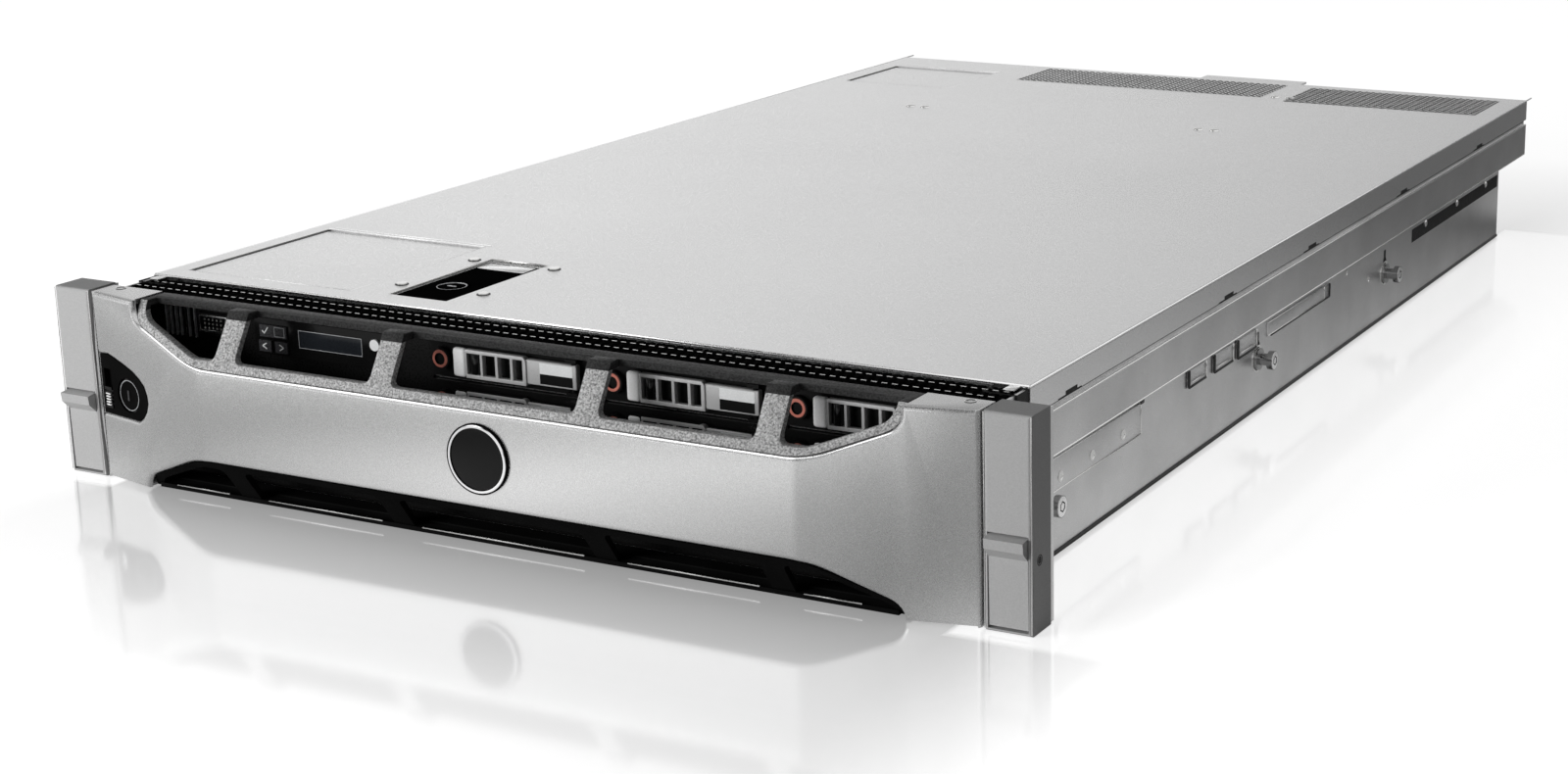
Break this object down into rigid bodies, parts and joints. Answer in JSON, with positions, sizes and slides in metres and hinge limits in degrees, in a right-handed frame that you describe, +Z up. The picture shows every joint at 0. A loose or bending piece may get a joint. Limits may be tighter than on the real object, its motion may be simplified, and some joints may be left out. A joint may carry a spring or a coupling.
{
  "type": "rack server",
  "caption": "Two-unit rack-mount computer chassis with a hinged bezel, sliding latched cover, drive carriers, status display and slide-out power supplies.",
  "frame": {"origin": "middle of the bounding box's underside, on the base that the server rests on", "axes": "+X to the viewer's right when facing the front, +Y from the bezel to the rear, +Z up"},
  "size_m": [0.4824, 0.785, 0.0864],
  "materials": {
    "galvanised_steel": "satin zinc coat",
    "bright_zinc": "bright plated",
    "silver_paint": "metallic satin paint",
    "textured_grey": "grained",
    "black_plastic": "fine matt",
    "black_steel": "matt powder coat",
    "badge_ring": "polished",
    "badge_face": "glossy",
    "screen": "glossy",
    "button_dark": "matt",
    "button_white": "glossy",
    "button_green": "glossy",
    "handle_grey": "satin",
    "terracotta": "satin",
    "circuit_board": "satin",
    "fin_aluminium": "milled",
    "supply_case": "satin"
  },
  "bodies": {
    "chassis": {"chassis_tray": "galvanised_steel", "rear_panel": "galvanised_steel", "front_panel": "black_steel", "front_vent_strip": "black_steel", "rail_studs": "bright_zinc", "ear_brackets": "galvanised_steel", "left_ear": "silver_paint", "right_ear": "silver_paint", "ear_pins": "bright_zinc", "drive_cage": "galvanised_steel", "drive_backplane": "circuit_board", "lcd_housing": "black_plastic", "lcd_screen": "screen", "front_connectors": "black_plastic", "fan_bracket": "galvanised_steel", "fan_frames": "black_plastic", "system_board": "circuit_board", "heat_sinks": "fin_aluminium", "memory_modules": "circuit_board", "riser_cards": "circuit_board", "slot_covers": "galvanised_steel", "rear_connectors": "bright_zinc"},
    "cover": {"top_cover": "galvanised_steel", "latch_pan": "galvanised_steel", "latch_pin": "bright_zinc", "cover_rivets": "bright_zinc"},
    "bezel": {"bezel_shell": "silver_paint", "bezel_frame": "textured_grey", "bezel_grille": "black_plastic", "badge_ring": "badge_ring", "badge_disc": "badge_face", "lock_plate": "black_plastic"},
    "cover_latch_body": {"cover_latch": "black_plastic"},
    "cover_lock_body": {"cover_lock": "bright_zinc"},
    "lock_cylinder_body": {"lock_cylinder": "black_steel"},
    "release_slider_body": {"release_slider": "black_plastic"},
    "left_latch_lever_body": {"left_latch_lever": "silver_paint"},
    "right_latch_lever_body": {"right_latch_lever": "silver_paint"},
    "select_button_body": {"select_button": "button_dark"},
    "left_button_body": {"left_button": "button_dark"},
    "right_button_body": {"right_button": "button_dark"},
    "id_button_body": {"id_button": "button_white"},
    "power_button_body": {"power_button": "button_green"},
    "psu_1_body": {"psu_1": "supply_case"},
    "psu_2_body": {"psu_2": "supply_case"},
    "fan_rotor_1_body": {"fan_rotor_1": "black_plastic"},
    "fan_rotor_2_body": {"fan_rotor_2": "black_plastic"},
    "fan_rotor_3_body": {"fan_rotor_3": "black_plastic"},
    "drive_upper_1_body": {"drive_upper_1": "galvanised_steel"},
    "drive_lower_1_body": {"drive_lower_1": "galvanised_steel"},
    "drive_handle_1_body": {"drive_handle_1": "handle_grey"},
    "drive_release_1_body": {"drive_release_1": "terracotta"},
    "drive_upper_2_body": {"drive_upper_2": "galvanised_steel"},
    "drive_lower_2_body": {"drive_lower_2": "galvanised_steel"},
    "drive_handle_2_body": {"drive_handle_2": "handle_grey"},
    "drive_release_2_body": {"drive_release_2": "terracotta"},
    "drive_upper_3_body": {"drive_upper_3": "galvanised_steel"},
    "drive_lower_3_body": {"drive_lower_3": "galvanised_steel"},
    "drive_handle_3_body": {"drive_handle_3": "handle_grey"},
    "drive_release_3_body": {"drive_release_3": "terracotta"}
  },
  "joints": [
    {"name": "bezel_swing", "type": "hinge", "parent": "chassis", "child": "bezel", "pos_m": [0.2145, -0.37155, 0.04], "axis": [0, 0, 1], "range_deg": [0, 35]},
    {"name": "bezel_lock_turn", "type": "hinge", "parent": "bezel", "child": "lock_cylinder_body", "pos_m": [-0.19931, -0.38066, 0.0414], "axis": [-0.1985, -0.9801, 0], "range_deg": [0, 90]},
    {"name": "bezel_release_slide", "type": "slide", "parent": "bezel", "child": "release_slider_body", "axis": [0, 0, 1], "range_m": [0, 0.008], "stiffness_N_per_m": 150},
    {"name": "left_slam_latch", "type": "hinge", "parent": "chassis", "child": "left_latch_lever_body", "pos_m": [-0.2312, -0.36985, 0.0289], "axis": [1, 0, 0], "range_deg": [0, 20], "stiffness_Nm_per_rad": 0.08},
    {"name": "right_slam_latch", "type": "hinge", "parent": "chassis", "child": "right_latch_lever_body", "pos_m": [0.2312, -0.36985, 0.0289], "axis": [1, 0, 0], "range_deg": [0, 20], "stiffness_Nm_per_rad": 0.08},
    {"name": "cover_slide", "type": "slide", "parent": "chassis", "child": "cover", "axis": [0, 1, 0], "range_m": [0, 0.012]},
    {"name": "cover_latch_lift", "type": "hinge", "parent": "cover", "child": "cover_latch_body", "pos_m": [-0.0825, -0.31695, 0.0816], "axis": [1, 0, 0], "range_deg": [0, 70.1]},
    {"name": "cover_lock_turn", "type": "hinge", "parent": "cover_latch_body", "child": "cover_lock_body", "pos_m": [-0.0825, -0.29885, 0.0816], "axis": [0, 0, 1], "range_deg": [0, 90]},
    {"name": "select_press", "type": "slide", "parent": "chassis", "child": "select_button_body", "axis": [0, 1, 0], "range_m": [0, 0.0009], "stiffness_N_per_m": 300},
    {"name": "left_press", "type": "slide", "parent": "chassis", "child": "left_button_body", "axis": [0, 1, 0], "range_m": [0, 0.0009], "stiffness_N_per_m": 300},
    {"name": "right_press", "type": "slide", "parent": "chassis", "child": "right_button_body", "axis": [0, 1, 0], "range_m": [0, 0.0009], "stiffness_N_per_m": 300},
    {"name": "id_press", "type": "slide", "parent": "chassis", "child": "id_button_body", "axis": [0, 1, 0], "range_m": [0, 0.0009], "stiffness_N_per_m": 300},
    {"name": "power_press", "type": "slide", "parent": "chassis", "child": "power_button_body", "axis": [0, 1, 0], "range_m": [0, 0.0009], "stiffness_N_per_m": 300},
    {"name": "drive_upper_1_slide", "type": "slide", "parent": "chassis", "child": "drive_upper_1_body", "axis": [0, -1, 0], "range_m": [0, 0.009]},
    {"name": "drive_lower_1_slide", "type": "slide", "parent": "chassis", "child": "drive_lower_1_body", "axis": [0, -1, 0], "range_m": [0, 0.009]},
    {"name": "drive_handle_1_swing", "type": "hinge", "parent": "drive_upper_1_body", "child": "drive_handle_1_body", "pos_m": [0.0265, -0.36015, 0.0717], "axis": [0, 0, 1], "range_deg": [0, 14]},
    {"name": "drive_release_1_press", "type": "slide", "parent": "drive_upper_1_body", "child": "drive_release_1_body", "axis": [0, 1, 0], "range_m": [0, 0.0009], "stiffness_N_per_m": 300},
    {"name": "drive_upper_2_slide", "type": "slide", "parent": "chassis", "child": "drive_upper_2_body", "axis": [0, -1, 0], "range_m": [0, 0.009]},
    {"name": "drive_lower_2_slide", "type": "slide", "parent": "chassis", "child": "drive_lower_2_body", "axis": [0, -1, 0], "range_m": [0, 0.009]},
    {"name": "drive_handle_2_swing", "type": "hinge", "parent": "drive_upper_2_body", "child": "drive_handle_2_body", "pos_m": [0.1132, -0.36015, 0.0717], "axis": [0, 0, 1], "range_deg": [0, 14]},
    {"name": "drive_release_2_press", "type": "slide", "parent": "drive_upper_2_body", "child": "drive_release_2_body", "axis": [0, 1, 0], "range_m": [0, 0.0009], "stiffness_N_per_m": 300},
    {"name": "drive_upper_3_slide", "type": "slide", "parent": "chassis", "child": "drive_upper_3_body", "axis": [0, -1, 0], "range_m": [0, 0.009]},
    {"name": "drive_lower_3_slide", "type": "slide", "parent": "chassis", "child": "drive_lower_3_body", "axis": [0, -1, 0], "range_m": [0, 0.009]},
    {"name": "drive_handle_3_swing", "type": "hinge", "parent": "drive_upper_3_body", "child": "drive_handle_3_body", "pos_m": [0.1999, -0.36015, 0.0717], "axis": [0, 0, 1], "range_deg": [0, 14]},
    {"name": "drive_release_3_press", "type": "slide", "parent": "drive_upper_3_body", "child": "drive_release_3_body", "axis": [0, 1, 0], "range_m": [0, 0.0009], "stiffness_N_per_m": 300},
    {"name": "psu_1_slide", "type": "slide", "parent": "chassis", "child": "psu_1_body", "axis": [0, 1, 0], "range_m": [0, 0.2]},
    {"name": "psu_2_slide", "type": "slide", "parent": "chassis", "child": "psu_2_body", "axis": [0, 1, 0], "range_m": [0, 0.2]},
    {"name": "fan_1_spin", "type": "hinge", "parent": "chassis", "child": "fan_rotor_1_body", "pos_m": [-0.13, -0.14435, 0.0412], "axis": [0, 1, 0], "continuous": true},
    {"name": "fan_2_spin", "type": "hinge", "parent": "chassis", "child": "fan_rotor_2_body", "pos_m": [0, -0.14435, 0.0412], "axis": [0, 1, 0], "continuous": true},
    {"name": "fan_3_spin", "type": "hinge", "parent": "chassis", "child": "fan_rotor_3_body", "pos_m": [0.13, -0.14435, 0.0412], "axis": [0, 1, 0], "continuous": true}
  ],
  "couplings": [
    {"joint": "cover_latch_lift", "follows": "cover_slide", "rad_per_m": 101.81}
  ]
}
